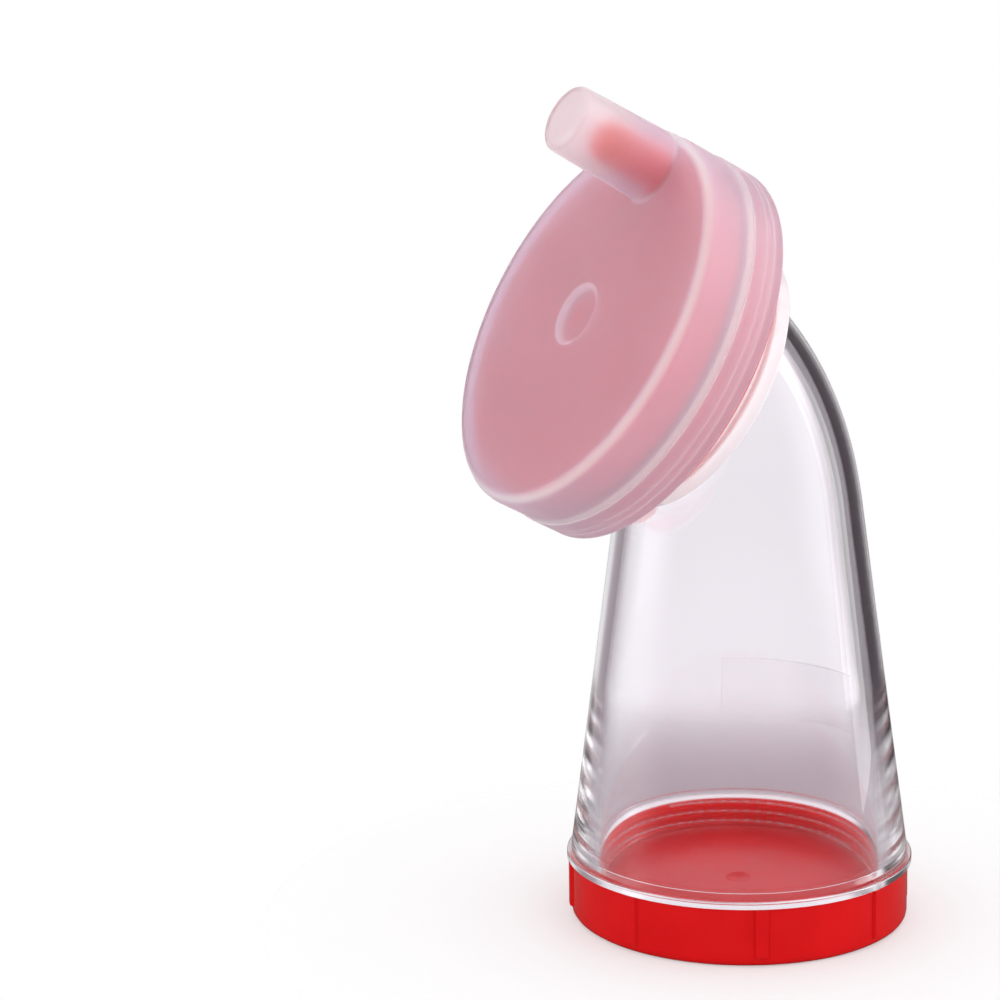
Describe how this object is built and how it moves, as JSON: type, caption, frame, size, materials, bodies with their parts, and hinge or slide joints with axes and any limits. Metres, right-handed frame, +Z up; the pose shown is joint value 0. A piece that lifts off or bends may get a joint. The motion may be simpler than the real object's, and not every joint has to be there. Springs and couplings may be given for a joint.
{
  "type": "manual seed grinder",
  "caption": "Hand-held seed grinder: clear leaning hopper on a red screw base, tilted burr head turned by a crank knob, under a frosted dust cover with a hollow peg over the knob.",
  "frame": {"origin": "centre of the base cap's underside, where the grinder stands", "axes": "+Z up along the hopper's cone axis, head leaning toward -X, XZ the plane of symmetry of the hopper"},
  "size_m": [0.0788, 0.07, 0.1494],
  "materials": {
    "clear_plastic": "clear polished moulding",
    "red_plastic": "glossy moulding",
    "frosted_plastic": "milky translucent moulding",
    "acetal": "off-white moulding",
    "steel": "bright turned"
  },
  "bodies": {
    "hopper": {"hopper_body": "clear_plastic", "burr_housing": "red_plastic", "hub_bush": "acetal", "fixed_burr": "acetal"},
    "base": {"base_cap": "red_plastic"},
    "crank": {"crank_disc": "red_plastic", "turning_burr": "acetal", "drive_bolt": "steel", "thrust_washer": "acetal", "pressure_spring": "steel", "spring_washer": "steel", "lock_nut": "steel", "knob_pin": "steel"},
    "knob": {"crank_knob": "red_plastic"},
    "cover": {"cover_cap": "frosted_plastic"}
  },
  "joints": [
    {"name": "crank_turn", "type": "hinge", "parent": "hopper", "child": "crank", "pos_m": [0, 0, 0.0942], "axis": [-0.8829, 0, 0.4695], "continuous": true},
    {"name": "knob_spin", "type": "hinge", "parent": "crank", "child": "knob", "pos_m": [-0.02235, -0.00388, 0.13737], "axis": [-0.8829, 0, 0.4695], "continuous": true},
    {"name": "cover_lift", "type": "slide", "parent": "crank", "child": "cover", "axis": [-0.8829, 0, 0.4695], "range_m": [0, 0.045]},
    {"name": "base_removal", "type": "slide", "parent": "hopper", "child": "base", "axis": [0, 0, -1], "range_m": [0, 0.035]}
  ]
}
